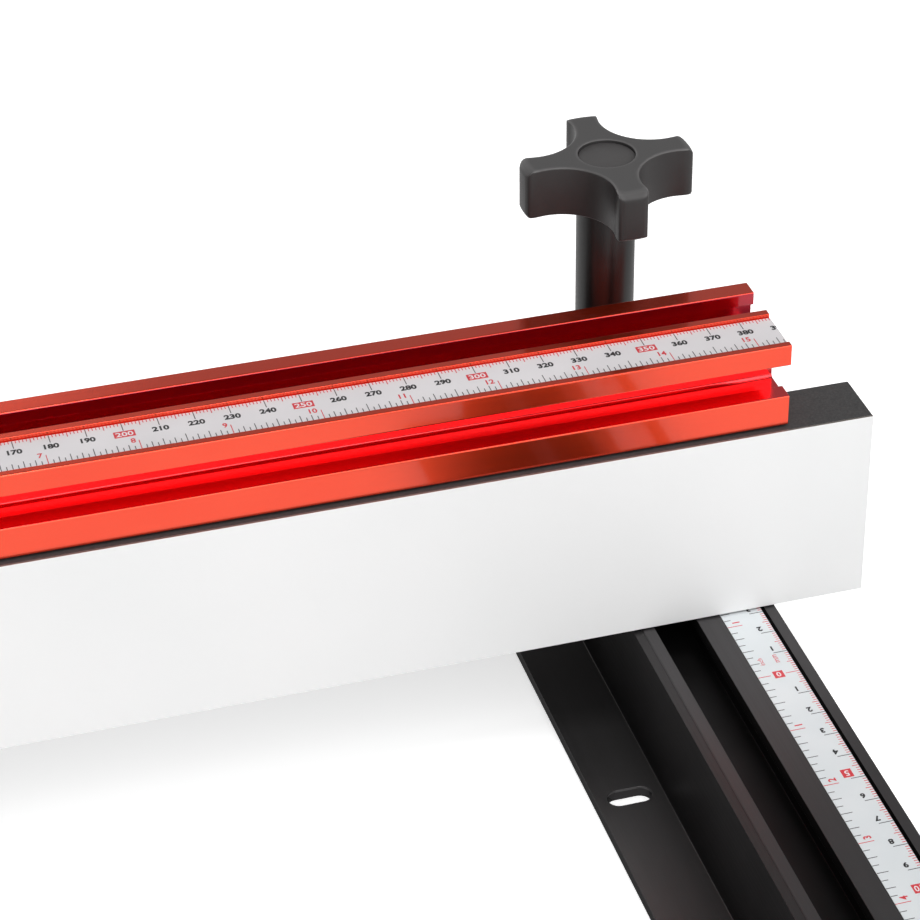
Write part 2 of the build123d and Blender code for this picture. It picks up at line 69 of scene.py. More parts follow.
# Materials
class Nodes:
    """A material's node tree, with short calls to add and join nodes. A value is a number, a colour of three
    numbers, or another node's output."""

    def __init__(self, name):
        self.material = bpy.data.materials.new(name)
        self.material.use_nodes = True
        self.tree = self.material.node_tree
        self.tree.nodes.clear()
        self.out = self.add("ShaderNodeOutputMaterial")
        texture = self.add("ShaderNodeTexCoord")
        self.coord = texture.outputs["Object"]
        self.normal = texture.outputs["Normal"]

    def add(self, kind, **settings):
        node = self.tree.nodes.new(kind)
        for key, setting in settings.items():
            setattr(node, key, setting)
        return node

    def feed(self, socket, value):
        """Sets a socket to a number or a colour, or joins an output to it."""
        if isinstance(value, tuple):
            socket.default_value = (*value, 1)
        elif isinstance(value, (int, float)):
            socket.default_value = value
        else:
            self.tree.links.new(value, socket)

    def maths(self, operation, *values):
        node = self.add("ShaderNodeMath", operation=operation)
        for socket, value in zip(node.inputs, values):
            self.feed(socket, value)
        return node.outputs["Value"]

    def size_along(self, vector, axis):
        """The size of a vector's part along an axis, whichever way it points."""
        parts = self.add("ShaderNodeSeparateXYZ")
        self.feed(parts.inputs["Vector"], vector)
        return self.maths("ABSOLUTE", parts.outputs[axis])

    def noise(self, waves, detail=3.0, rough=0.5, run=None, stretch=1):
        """Noise in object space, in waves per metre, stretched along the axis run if there is one."""
        mapping = self.add("ShaderNodeMapping")
        mapping.inputs["Scale"].default_value = [waves / stretch if axis == run else waves for axis in "XYZ"]
        self.feed(mapping.inputs["Vector"], self.coord)
        noise = self.add("ShaderNodeTexNoise")
        self.feed(noise.inputs["Scale"], 1.0)
        self.feed(noise.inputs["Detail"], detail)
        self.feed(noise.inputs["Roughness"], rough)
        self.feed(noise.inputs["Vector"], mapping.outputs["Vector"])
        return noise.outputs["Fac"]

    def span(self, value, low, high, start=0.3, end=0.7):
        """Goes from low to high as a value goes from start to end."""
        node = self.add("ShaderNodeMapRange")
        for key, number in (("From Min", start), ("From Max", end), ("To Min", low), ("To Max", high)):
            self.feed(node.inputs[key], number)
        self.feed(node.inputs["Value"], value)
        return node.outputs["Result"]

    def mix(self, factor, a, b):
        """Mixes two colours by a value."""
        node = self.add("ShaderNodeMix", data_type="RGBA")
        self.feed(node.inputs["Factor"], factor)
        self.feed(node.inputs[6], a)
        self.feed(node.inputs[7], b)
        return node.outputs[2]

    def blend(self, value, a, b, start=0.3, end=0.7):
        """Turns from one colour to another as a value goes from start to end."""
        return self.mix(self.span(value, 0.0, 1.0, start, end), a, b)

    def within(self, ranges):
        """1 where the distance from the origin lies in every range of a list of (axis, from, to)."""
        result = 1.0
        for axis, start, end in ranges:
            away = self.size_along(self.coord, axis)
            inside = self.maths("COMPARE", away, (start + end) / 2, (end - start) / 2)
            result = self.maths("MULTIPLY", result, inside)
        return result

    def facing(self, axis):
        """How far the surface looks along an axis, either way."""
        return self.size_along(self.normal, axis)

    def bump(self, height, distance, strength, after=None):
        """Relief from a height, on top of an earlier relief if there is one."""
        node = self.add("ShaderNodeBump")
        self.feed(node.inputs["Distance"], distance)
        self.feed(node.inputs["Strength"], strength)
        self.feed(node.inputs["Height"], height)
        if after is not None:
            self.feed(node.inputs["Normal"], after)
        return node.outputs["Normal"]

    def finish(self, colour, roughness, metallic=0.0, normal=None, **values):
        """Adds the surface shader and joins it to the output."""
        shader = self.add("ShaderNodeBsdfPrincipled")
        self.feed(shader.inputs["Base Color"], colour)
        self.feed(shader.inputs["Roughness"], roughness)
        self.feed(shader.inputs["Metallic"], metallic)
        if normal is not None:
            self.feed(shader.inputs["Normal"], normal)
        for key, value in values.items():
            self.feed(shader.inputs[key.replace("_", " ")], value)
        self.feed(self.out.inputs["Surface"], shader.outputs["BSDF"])
        return self.material


def anodised(name, dark, light, rough, run, metallic, edge_tint, coat=0.0, relief=1.0, painted_areas=()):
    """Anodised extrusion: fine die lines along its run, a faint speckle and soft clouding. The listed areas
    are
    painted light and shade: each a list of (axis, from, to) in metres from the origin, and the colour painted
    there."""
    n = Nodes(name)
    lines = n.noise(2600, 2, 0.6, run, stretch=400)
    broad = n.noise(420, 2, 0.5, run, stretch=400)
    speckle = n.noise(5200, 2, 0.6)
    colour = n.blend(n.noise(30), dark, light)
    # Painted light and shade: each listed area's colour is painted over the anodising
    for ranges, painted_colour in painted_areas:
        colour = n.mix(n.within(ranges), colour, painted_colour)
    roughness = n.span(lines, rough - 0.05 * relief, rough + 0.07 * relief)
    normal = n.bump(lines, 0.00002, 0.35 * relief)
    normal = n.bump(broad, 0.00004, 0.25 * relief, normal)
    normal = n.bump(speckle, 0.00001, 0.3 * relief, normal)
    return n.finish(
        colour, roughness, metallic, normal, Specular_Tint=(edge_tint,) * 3,
        Specular_IOR_Level=0.35, Coat_Weight=coat, Coat_Roughness=0.06,
    )


def moulded(name, dark, light, rough, grain, depth, edge=None, shine=0.5, top=None):
    """Moulded plastic with a fine eroded grain. edge is the colour of a painted highlight along its upper
    convex edges, and top that of painted light on the faces that look up."""
    n = Nodes(name)
    fine = n.noise(grain, 4, 0.65)
    colour = n.blend(n.noise(60), dark, light)
    # Painted light: faces that look up are painted lighter
    if top is not None:
        colour = n.blend(n.facing("Z"), colour, top, 0.75, 0.98)
    # Painted highlight: a light line along the upper convex edges
    if edge is not None:
        pointed = n.add("ShaderNodeNewGeometry").outputs["Pointiness"]
        painted_edge_highlight = n.blend(pointed, colour, edge, 0.505, 0.54)
        colour = n.blend(n.facing("Z"), colour, painted_edge_highlight, 0.25, 0.5)
    roughness = n.span(fine, rough - 0.06, rough + 0.08)
    return n.finish(colour, roughness, 0.0, n.bump(fine, depth, 0.5), Specular_IOR_Level=shine)


def plated(name, dark, light, rough, run=None):
    """Bare or plated metal with fine marks, along its run if it has one."""
    n = Nodes(name)
    marks = n.noise(2400, 3, 0.6, run, stretch=300)
    colour = n.blend(n.noise(180, 3, 0.6), dark, light)
    return n.finish(colour, n.span(marks, rough - 0.08, rough + 0.1), 1.0, n.bump(marks, 0.00002, 0.3))


def tape(name, dark, light):
    """Printed tape: pale lacquer over steel, faintly clouded, with a light orange-peel surface."""
    n = Nodes(name)
    peel = n.noise(900, 2, 0.5)
    colour = n.blend(n.noise(45), dark, light)
    return n.finish(colour, n.span(peel, 0.3, 0.42), 0.0, n.bump(peel, 0.00002, 0.25))


def ink(name, dark, light):
    """Printing ink, slightly uneven."""
    n = Nodes(name)
    grain = n.noise(3500, 2, 0.6)
    return n.finish(n.blend(grain, dark, light), n.span(grain, 0.4, 0.55))


def laminate():
    """White laminate: a fine crystal texture, very faint clouding and the dark paper of its cut edges."""
    n = Nodes("laminate_white")
    fine = n.noise(2600, 3, 0.55)
    front = n.blend(n.noise(14, 2, 0.5), (0.855, 0.86, 0.86), (0.885, 0.885, 0.885))
    cut_edge = (0.13, 0.115, 0.10)
    colour = n.blend(n.facing("Y"), cut_edge, front, 0.35, 0.5)
    return n.finish(colour, n.span(fine, 0.30, 0.42), 0.0, n.bump(fine, 0.00002, 0.35))


def board():
    """Black fibreboard: matted fibres as pale specks in a dark ground."""
    n = Nodes("board_black")
    fibre = n.noise(1500, 4, 0.7)
    speck = n.noise(4200, 2, 0.7)
    ground = n.blend(fibre, (0.030, 0.030, 0.031), (0.056, 0.055, 0.055), 0.35, 0.65)
    colour = n.mix(n.span(speck, 0.0, 0.6, 0.62, 0.75), ground, (0.16, 0.155, 0.15))
    return n.finish(colour, 0.62, 0.0, n.bump(fibre, 0.00008, 0.5))


# Areas of the extrusions where light and shade are painted into the colour, as (axis, from, to), from the
# floor or from a node's box
rail_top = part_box("guide_rail_right")[1].z
rail_tape_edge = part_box("rail_scale_right")[1].x
beam_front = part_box("fence_beam")[0].y
beam_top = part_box("fence_beam")[1].z
# Painted light: the rail's flange top, step and lands are painted lighter, as lit faces
RAIL_FLANGE_TOP_PAINTED_LIGHT = [("Z", 3.0 * MM, 4.5 * MM)]
RAIL_STEP_PAINTED_LIGHT = [("Z", rail_top - 0.5 * MM, rail_top - 0.3 * MM)]
RAIL_LANDS_PAINTED_LIGHT = [("Z", rail_top - 0.3 * MM, rail_top + 1.0 * MM)]
# Painted shadow: a near-black line beside the tape's outer edge, where the recess wall's shadow falls
RAIL_TAPE_GAP_PAINTED_SHADOW = [("X", rail_tape_edge + 0.1 * MM, rail_tape_edge + 1.1 * MM)]
# Painted shade: the inside of the beam's top slot is painted darker
BEAM_TOP_SLOT_PAINTED_SHADE = [
    ("Y", beam_front + 20.8 * MM, beam_front + 35.5 * MM),
    ("Z", beam_top - 13.9 * MM, beam_top - 0.2 * MM),
]
# Painted shade: a deeper crimson painted inside the beam's front slot
BEAM_FRONT_SLOT_PAINTED_SHADE = [
    ("Y", beam_front + 0.2 * MM, beam_front + 14.8 * MM),
    ("Z", beam_top - 19.0 * MM, beam_top - 4.8 * MM),
]

RAIL_BLACK = anodised(
    "black_anodised_rail", dark=(0.034, 0.032, 0.033), light=(0.046, 0.044, 0.045), rough=0.42, run="Y",
    metallic=0.8, edge_tint=0.10,
    # Painted light on the flange top, step and lands, and a painted shadow line beside the tape
    painted_areas=(
        (RAIL_FLANGE_TOP_PAINTED_LIGHT, (0.100, 0.096, 0.097)),
        (RAIL_STEP_PAINTED_LIGHT, (0.070, 0.067, 0.068)),
        (RAIL_LANDS_PAINTED_LIGHT, (0.096, 0.092, 0.094)),
        (RAIL_TAPE_GAP_PAINTED_SHADOW, (0.002, 0.002, 0.002)),
    ),
)
BACK_BLACK = anodised(
    "black_anodised_back", dark=(0.056, 0.055, 0.056), light=(0.072, 0.071, 0.071), rough=0.42, run="X",
    metallic=0.6, edge_tint=0.40,
)
BEAM_RED = anodised(
    "red_anodised_beam", dark=(0.970, 0.062, 0.016), light=(0.990, 0.074, 0.021), rough=0.21, run="X",
    metallic=0.95, edge_tint=1.0, coat=1.0, relief=0.3,
    # Painted shade inside the top slot, and a painted shade tint inside the front slot
    painted_areas=(
        (BEAM_TOP_SLOT_PAINTED_SHADE, (0.50, 0.010, 0.030)),
        (BEAM_FRONT_SLOT_PAINTED_SHADE, (0.95, 0.026, 0.034)),
    ),
)
TRACK = plated("track_bare", (0.62, 0.63, 0.65), (0.72, 0.73, 0.75), 0.34, run="X")
ZINC = plated("zinc_plate", (0.60, 0.61, 0.63), (0.72, 0.72, 0.74), 0.32)
BLACK_STEEL = plated("black_oxide", (0.045, 0.045, 0.05), (0.075, 0.075, 0.08), 0.38)
# Its top and edge colours are painted light: a lighter top and painted highlights along the upper edges
KNOB = moulded(
    "knob_moulding", dark=(0.028, 0.026, 0.026), light=(0.035, 0.033, 0.033), rough=0.44, grain=3200,
    depth=0.00004, edge=(0.145, 0.14, 0.14), shine=0.3, top=(0.078, 0.076, 0.076),
)
CAP = moulded(
    "cap_moulding", dark=(0.066, 0.063, 0.063), light=(0.078, 0.075, 0.075), rough=0.48, grain=4200,
    depth=0.00003, shine=0.3,
)
HOOD = moulded(
    "hood_moulding", dark=(0.030, 0.030, 0.031), light=(0.042, 0.042, 0.043), rough=0.52, grain=2200,
    depth=0.00006,
)
NYLON = moulded(
    "washer_nylon", dark=(0.030, 0.030, 0.030), light=(0.045, 0.045, 0.045), rough=0.42, grain=2600,
    depth=0.00002,
)
SPACER = moulded(
    "spacer_coating", dark=(0.004, 0.004, 0.004), light=(0.007, 0.006, 0.006), rough=0.36, grain=1300,
    depth=0.00002,
)
BEAM_TAPE = tape("tape_warm", (0.70, 0.675, 0.69), (0.76, 0.735, 0.75))
RAIL_TAPE = tape("tape_cool", (0.67, 0.71, 0.73), (0.73, 0.76, 0.775))
LAMINATE = laminate()
BOARD = board()
INK_BLACK = ink("ink_black", (0.014, 0.014, 0.016), (0.026, 0.026, 0.028))
INK_GREY = ink("ink_grey", (0.060, 0.058, 0.062), (0.085, 0.082, 0.086))
INK_RED = ink("ink_red", (0.60, 0.035, 0.050), (0.68, 0.055, 0.070))
INK_PALE = ink("ink_pale", (0.78, 0.72, 0.73), (0.84, 0.78, 0.79))

# Each CAD node's material, and the width of its broken edges in millimetres, None where they stay as they are
FINISHES = {
    "fence_beam": (BEAM_RED, 0.12),
    "fence_back": (BACK_BLACK, 0.25),
    "beam_screws": (BLACK_STEEL, 0.3),
    "hood_screws": (BLACK_STEEL, 0.3),
    "dust_hood": (HOOD, 0.7),
    "clamp_spacers": (SPACER, 0.3),
    "clamp_washers": (NYLON, None),
    "face_bolts": (ZINC, 0.3),
}
PAIR_FINISHES = {
    "guide_rail": (RAIL_BLACK, 0.22),
    "rail_scale": (RAIL_TAPE, None),
    "fence_scale": (BEAM_TAPE, None),
    "face_board": (BOARD, 0.25),
    "face_laminate": (LAMINATE, 0.12),
    "face_track": (TRACK, 0.15),
    "clamp_stud": (ZINC, None),
    "clamp_nut": (ZINC, None),
}
# An edge wider than this is rounded in three steps, and others in two
WIDE_EDGE = 0.5


def dress(node, material, edge):
    """Gives a CAD node its material, and breaks its sharp edges where edge is a width in millimetres."""
    obj = nodes[node]
    obj.data.materials.clear()
    obj.data.materials.append(material)
    if edge is None:
        return
    weld = obj.modifiers.new("weld", "WELD")
    weld.merge_threshold = 1e-6
    flat = obj.modifiers.new("flat", "DECIMATE")
    flat.decimate_type = "DISSOLVE"
    flat.angle_limit = math.radians(0.5)
    bevel = obj.modifiers.new("bevel", "BEVEL")
    bevel.width = edge * MM
    bevel.segments = 3 if edge > WIDE_EDGE else 2
    bevel.limit_method = "ANGLE"
    bevel.angle_limit = math.radians(35)
    bevel.use_clamp_overlap = False
    bevel.harden_normals = True


for node, (material, edge) in FINISHES.items():
    dress(node, material, edge)
for side in SIDES:
    for pair, (material, edge) in PAIR_FINISHES.items():
        dress(f"{pair}_{side}", material, edge)


def make_object(name, verts, faces, material, body, smooth=None):
    """A mesh object from lists, riding on a body. smooth is the angle in degrees below which edges are shaded
    round."""
    mesh = bpy.data.meshes.new(name)
    mesh.from_pydata(verts, [], faces)
    mesh.materials.append(material)
    if smooth is not None:
        mesh.shade_smooth()
        mesh.set_sharp_from_angle(angle=math.radians(smooth))
    obj = bpy.data.objects.new(name, mesh)
    scene.collection.objects.link(obj)
    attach(obj, body)
    return obj


# Printed scales: every mark is a thin closed box or a flat cut-out letter, set a little into the tape
# Each ink's material and its lift above the tape in metres
INKS = {
    "grey": (INK_GREY, 0.00002),
    "red": (INK_RED, 0.00002),
    "black": (INK_BLACK, 0.00004),
    "boxes": (INK_RED, 0.00003),
    "pale": (INK_PALE, 0.00005),
}
INK_SINK = 0.00004
BOX_FACES = ((3, 2, 1, 0), (4, 5, 6, 7), (0, 1, 5, 4), (1, 2, 6, 5), (2, 3, 7, 6), (3, 0, 4, 7))

# Sizes in millimetres from here to the scales' functions
# Ticks are (every so many marks, length), the longest first. They stop short of the tape's edges
TICK_MARGIN = 0.05
END_MARGIN = 0.2
BEAM_MM_TICKS = ((10, 3.7), (5, 2.1), (1, 1.25))
BEAM_INCH_TICKS = ((16, 5.6), (8, 4.8), (4, 4.3), (2, 3.8), (1, 2.85))
BEAM_TICK_HALF = 0.125
BEAM_LONG_TICK_HALF = 0.13
RAIL_MM_TICKS = ((10, 4.2), (5, 1.9), (1, 1.15))
RAIL_INCH_TICKS = ((8, 4.6), (4, 3.4), (2, 2.85), (1, 2.0))
RAIL_ZERO_INCH_TICK = 3.9
RAIL_TICK_HALF = 0.13
RAIL_ZERO = -3.0

# Lettering is (height, boldness, width of a figure with its gap), with None for the width that the type has
BEAM_FIGURES = (2.35, 0.040, 1.58)
BEAM_BOXED = (2.1, 0.020, 1.62)
BEAM_INCHES = (2.3, 0.026, 1.4)
RAIL_FIGURES = (2.15, 0.040, 1.45)
RAIL_BOXED = {1: (2.3, 0.020, 1.5), 2: (2.3, 0.020, 1.3)}
RAIL_BOXED_ZERO = (2.1, 0.020, None)
RAIL_INCHES = (2.3, 0.026, 1.5)
INCH_NAME = (1.5, 0.0, None)
MM_NAME = (1.2, 0.0, None)

# On the beam, the lines of figures and the boxes behind some of them lie so far in from the tape's edges
BEAM_FIGURE_LINE = 5.5
BEAM_BOX_HALF = 2.95
BEAM_BOX = (3.95, 7.0)
BEAM_INCH_LINE = 5.7
BEAM_INCH_GAP = 0.85
BEAM_INCH_WIDTH = 1.35
# A figure with this much tape beyond its middle is whole. One with less is cut, down to the second value
WHOLE_FIGURE = 3.0
CUT_FIGURE = -2.2

# On the rail, places are (along the tape from the mark, across it from its edge). Boxes have a range of each
RAIL_FIGURE_PLACE = (2.1, 3.9)
RAIL_INCH_PLACE = (1.75, 3.2)
RAIL_BOX = ((0.7, 4.2), (2.85, 5.95))
RAIL_ZERO_BOX = ((-1.6, 1.6), (4.8, 7.9))
INCH_NAME_PLACE = (7.0, 3.5)
MM_NAME_PLACE = (7.3, 4.4)
# A figure is left out where the tape goes on for less than this beyond its mark
RAIL_FIGURE_ROOM = 3.4
RAIL_INCH_ROOM = 3.0


class Print:
    """Marks of one ink, gathered on one tape. place turns u, along the tape, and v, across it, into x
    and y."""

    def __init__(self, place, top, lift):
        self.place = place
        self.top = top + lift
        self.bottom = top - INK_SINK
        self.verts = []
        self.faces = []

    def add(self, verts, faces):
        """Adds a closed shape from its corner and face lists."""
        base = len(self.verts)
        self.verts += verts
        self.faces += [[base + i for i in face] for face in faces]

    def bar(self, u0, u1, v0, v1):
        """Adds a box between two places along the tape and two across it."""
        corners = [self.place(u, v) for u, v in ((u0, v0), (u1, v0), (u1, v1), (u0, v1))]
        area = sum(a[0] * b[1] - b[0] * a[1] for a, b in zip(corners, corners[1:] + corners[:1]))
        if area < 0:
            corners = corners[::-1]
        self.add([(x, y, z) for z in (self.bottom, self.top) for x, y in corners], BOX_FACES)


def start_prints(place, top):
    """An empty print for each ink on a tape."""
    return {ink_name: Print(place, top, lift) for ink_name, (_, lift) in INKS.items()}


def build_prints(prints, tape_name, side, body):
    """Makes each ink's marks on a tape into one piece."""
    for ink_name, printed in prints.items():
        name = f"{tape_name}_print_{ink_name}_{side}"
        make_object(name, printed.verts, printed.faces, INKS[ink_name][0], body)


def tick_size(mark, sizes):
    """The length of a mark's tick, from a list of (every so many marks, length)."""
    return next(size for every, size in sizes if mark % every == 0)


glyph_cache = {}


def glyph(text, bold):
    """A slab of text of height 1, centred, as corner and face lists and its width."""
    key = (text, bold)
    if key not in glyph_cache:
        curve = bpy.data.curves.new("glyph", "FONT")
        curve.body = text
        curve.size = 1.0
        curve.resolution_u = 3
        curve.offset = bold
        curve.extrude = 0.5
        obj = bpy.data.objects.new("glyph", curve)
        scene.collection.objects.link(obj)
        bpy.context.view_layer.update()
        mesh = bpy.data.meshes.new_from_object(obj.evaluated_get(bpy.context.evaluated_depsgraph_get()))
        verts = [tuple(v.co) for v in mesh.vertices]
        faces = [list(p.vertices) for p in mesh.polygons]
        bpy.data.objects.remove(obj)
        bpy.data.curves.remove(curve)
        bpy.data.meshes.remove(mesh)
        xs = [v[0] for v in verts]
        ys = [v[1] for v in verts]
        height = max(ys) - min(ys)
        centre = ((max(xs) + min(xs)) / 2, (max(ys) + min(ys)) / 2)
        verts = [((x - centre[0]) / height, (y - centre[1]) / height, z) for x, y, z in verts]
        glyph_cache[key] = (verts, faces, (max(xs) - min(xs)) / height)
    return glyph_cache[key]


def placed_text(printed, text, centre, lettering, right=(1, 0), up=(0, 1)):
    """Text as corner and face lists, centred at a point of the tape, with its right and up directions."""
    height, bold, pitch = lettering
    height *= MM
    verts, faces, _ = glyph(text, bold)
    stretch = 1.0
    if pitch is not None:
        stretch = pitch * MM / (glyph("00", bold)[2] * height / 2)
    placed = []
    for x, y, z in verts:
        px = centre[0] + right[0] * x * height * stretch + up[0] * y * height
        py = centre[1] + right[1] * x * height * stretch + up[1] * y * height
        placed.append((px, py, printed.top if z > 0 else printed.bottom))
    if right[0] * up[1] - right[1] * up[0] < 0:
        faces = [face[::-1] for face in faces]
    return placed, faces


def write(printed, text, centre, lettering, *directions):
    """Adds text to a print."""
    printed.add(*placed_text(printed, text, centre, lettering, *directions))


def cut_text(printed, text, centre, lettering, end, hand):
    """Text that the tape's end cuts through: what lies beyond the end is left out."""
    verts, faces = placed_text(printed, text, centre, lettering)
    bm = bmesh.new()
    made = [bm.verts.new(v) for v in verts]
    for face in faces:
        bm.faces.new([made[i] for i in face])
    bmesh.ops.remove_doubles(bm, verts=bm.verts, dist=1e-7)
    result = bmesh.ops.bisect_plane(
        bm, geom=bm.verts[:] + bm.edges[:] + bm.faces[:], dist=1e-8,
        plane_co=(end, 0, 0), plane_no=(hand, 0, 0), clear_outer=True,
    )
    rim = [e for e in result["geom_cut"] if isinstance(e, bmesh.types.BMEdge)]
    bmesh.ops.edgeloop_fill(bm, edges=rim)
    bm.verts.index_update()
    printed.add([tuple(v.co) for v in bm.verts], [[v.index for v in f.verts] for f in bm.faces])
    bm.free()


def beam_scale(side, hand):
    """The beam's tape, from the middle out: millimetres at its rear edge and inches at its front edge."""
    low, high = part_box(f"fence_scale_{side}")
    front, rear = low.y, high.y
    length = abs(high.x if hand > 0 else low.x)
    prints = start_prints(lambda u, v: (hand * u, v), high.z)

    last = int(length / MM - END_MARGIN)
    for mark in range(0, last + 1):
        u = mark * MM
        half = (BEAM_LONG_TICK_HALF if mark % 5 == 0 else BEAM_TICK_HALF) * MM
        size = tick_size(mark, BEAM_MM_TICKS) * MM
        printed = prints["grey" if mark % 10 == 0 else "red"]
        printed.bar(max(u - half, 0), u + half, rear - size, rear - TICK_MARGIN * MM)
    # The last figure may lie beyond the tape's end
    for mark in range(10, last + 11, 10):
        u = mark * MM
        centre = (hand * u, rear - BEAM_FIGURE_LINE * MM)
        if mark % 50 == 0 and mark <= last:
            half = BEAM_BOX_HALF * MM
            near, far = BEAM_BOX
            prints["boxes"].bar(u - half, u + half, rear - far * MM, rear - near * MM)
            write(prints["pale"], str(mark), centre, BEAM_BOXED)
        elif length - u > WHOLE_FIGURE * MM:
            write(prints["black"], str(mark), centre, BEAM_FIGURES)
        elif length - u > CUT_FIGURE * MM:
            end = hand * (length - TICK_MARGIN * MM)
            cut_text(prints["black"], str(mark), centre, BEAM_FIGURES, end, hand)

    for mark in range(1, int(length / INCH * 16) + 1):
        u = mark * INCH / 16
        if u > length - END_MARGIN * MM:
            break
        half = BEAM_TICK_HALF * MM
        size = tick_size(mark, BEAM_INCH_TICKS) * MM
        printed = prints["red" if mark % 16 == 0 else "grey"]
        printed.bar(u - half, u + half, front + TICK_MARGIN * MM, front + size)
        if mark % 16 == 0:
            text = str(mark // 16)
            left_of_tick = (BEAM_INCH_GAP + BEAM_INCH_WIDTH * len(text) / 2) * MM
            write(prints["red"], text, (hand * u - left_of_tick, front + BEAM_INCH_LINE * MM), BEAM_INCHES)
    build_prints(prints, "fence", side, "fence")


def rail_scale(side, hand):
    """The rail's tape, both ways from zero: millimetres at its outer edge and inches at its inner edge."""
    low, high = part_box(f"rail_scale_{side}")
    inner, outer = (low.x, high.x) if hand > 0 else (high.x, low.x)
    zero = RAIL_ZERO * MM
    half = RAIL_TICK_HALF * MM
    prints = start_prints(lambda u, v: (v, u), high.z)

    def from_outer(distance):
        return outer - hand * distance * MM

    def from_inner(distance):
        return inner + hand * distance * MM

    def marks(pitch):
        """Each mark's number, counted forwards from zero, and its place along the tape."""
        reach = int((high.y - low.y) / pitch)
        for mark in range(-reach, reach + 1):
            u = zero - mark * pitch
            if low.y + END_MARGIN * MM < u < high.y - END_MARGIN * MM:
                yield mark, u

    def boxed(text, u, box, lettering, directions):
        """Pale text in a red box. box is (from, to) along the tape from u, and (from, to) in from its outer
        edge."""
        (start, end), (near, far) = box
        prints["boxes"].bar(u + start * MM, u + end * MM, from_outer(near), from_outer(far))
        centre = (from_outer((near + far) / 2), u + (start + end) / 2 * MM)
        write(prints["pale"], text, centre, lettering, *directions)

    backwards = ((-1, 0), (0, -1))
    for mark, u in marks(MM):
        printed = prints["grey" if mark % 10 == 0 and mark else "red"]
        size = tick_size(mark, RAIL_MM_TICKS)
        printed.bar(u - half, u + half, from_outer(TICK_MARGIN), from_outer(size))
        if mark % 10 or u + RAIL_FIGURE_ROOM * MM > high.y:
            continue
        text = str(abs(mark) // 10)
        if mark == 0:
            boxed(text, u, RAIL_ZERO_BOX, RAIL_BOXED_ZERO, backwards)
        elif mark % 50 == 0:
            boxed(text, u, RAIL_BOX, RAIL_BOXED[len(text)], backwards)
        else:
            along, across = RAIL_FIGURE_PLACE
            write(prints["black"], text, (from_outer(across), u + along * MM), RAIL_FIGURES, *backwards)

    sideways = ((0, hand), (-hand, 0))
    for mark, u in marks(INCH / 8):
        printed = prints["red" if mark % 8 == 0 else "grey"]
        size = tick_size(mark, RAIL_INCH_TICKS) if mark else RAIL_ZERO_INCH_TICK
        printed.bar(u - half, u + half, from_inner(TICK_MARGIN), from_inner(size))
        if mark % 8 == 0 and mark and u + RAIL_INCH_ROOM * MM < high.y:
            along, across = RAIL_INCH_PLACE
            text = str(abs(mark) // 8)
            write(prints["red"], text, (from_inner(across), u + along * MM), RAIL_INCHES, *sideways)
    along, across = INCH_NAME_PLACE
    write(prints["red"], "inch", (from_inner(across), zero + along * MM), INCH_NAME, *sideways)
    along, across = MM_NAME_PLACE
    write(prints["red"], "mm", (from_outer(across), zero + along * MM), MM_NAME, *sideways)
    build_prints(prints, "rail", side, "rails")


for side, hand in SIDES.items():
    beam_scale(side, hand)
    rail_scale(side, hand)


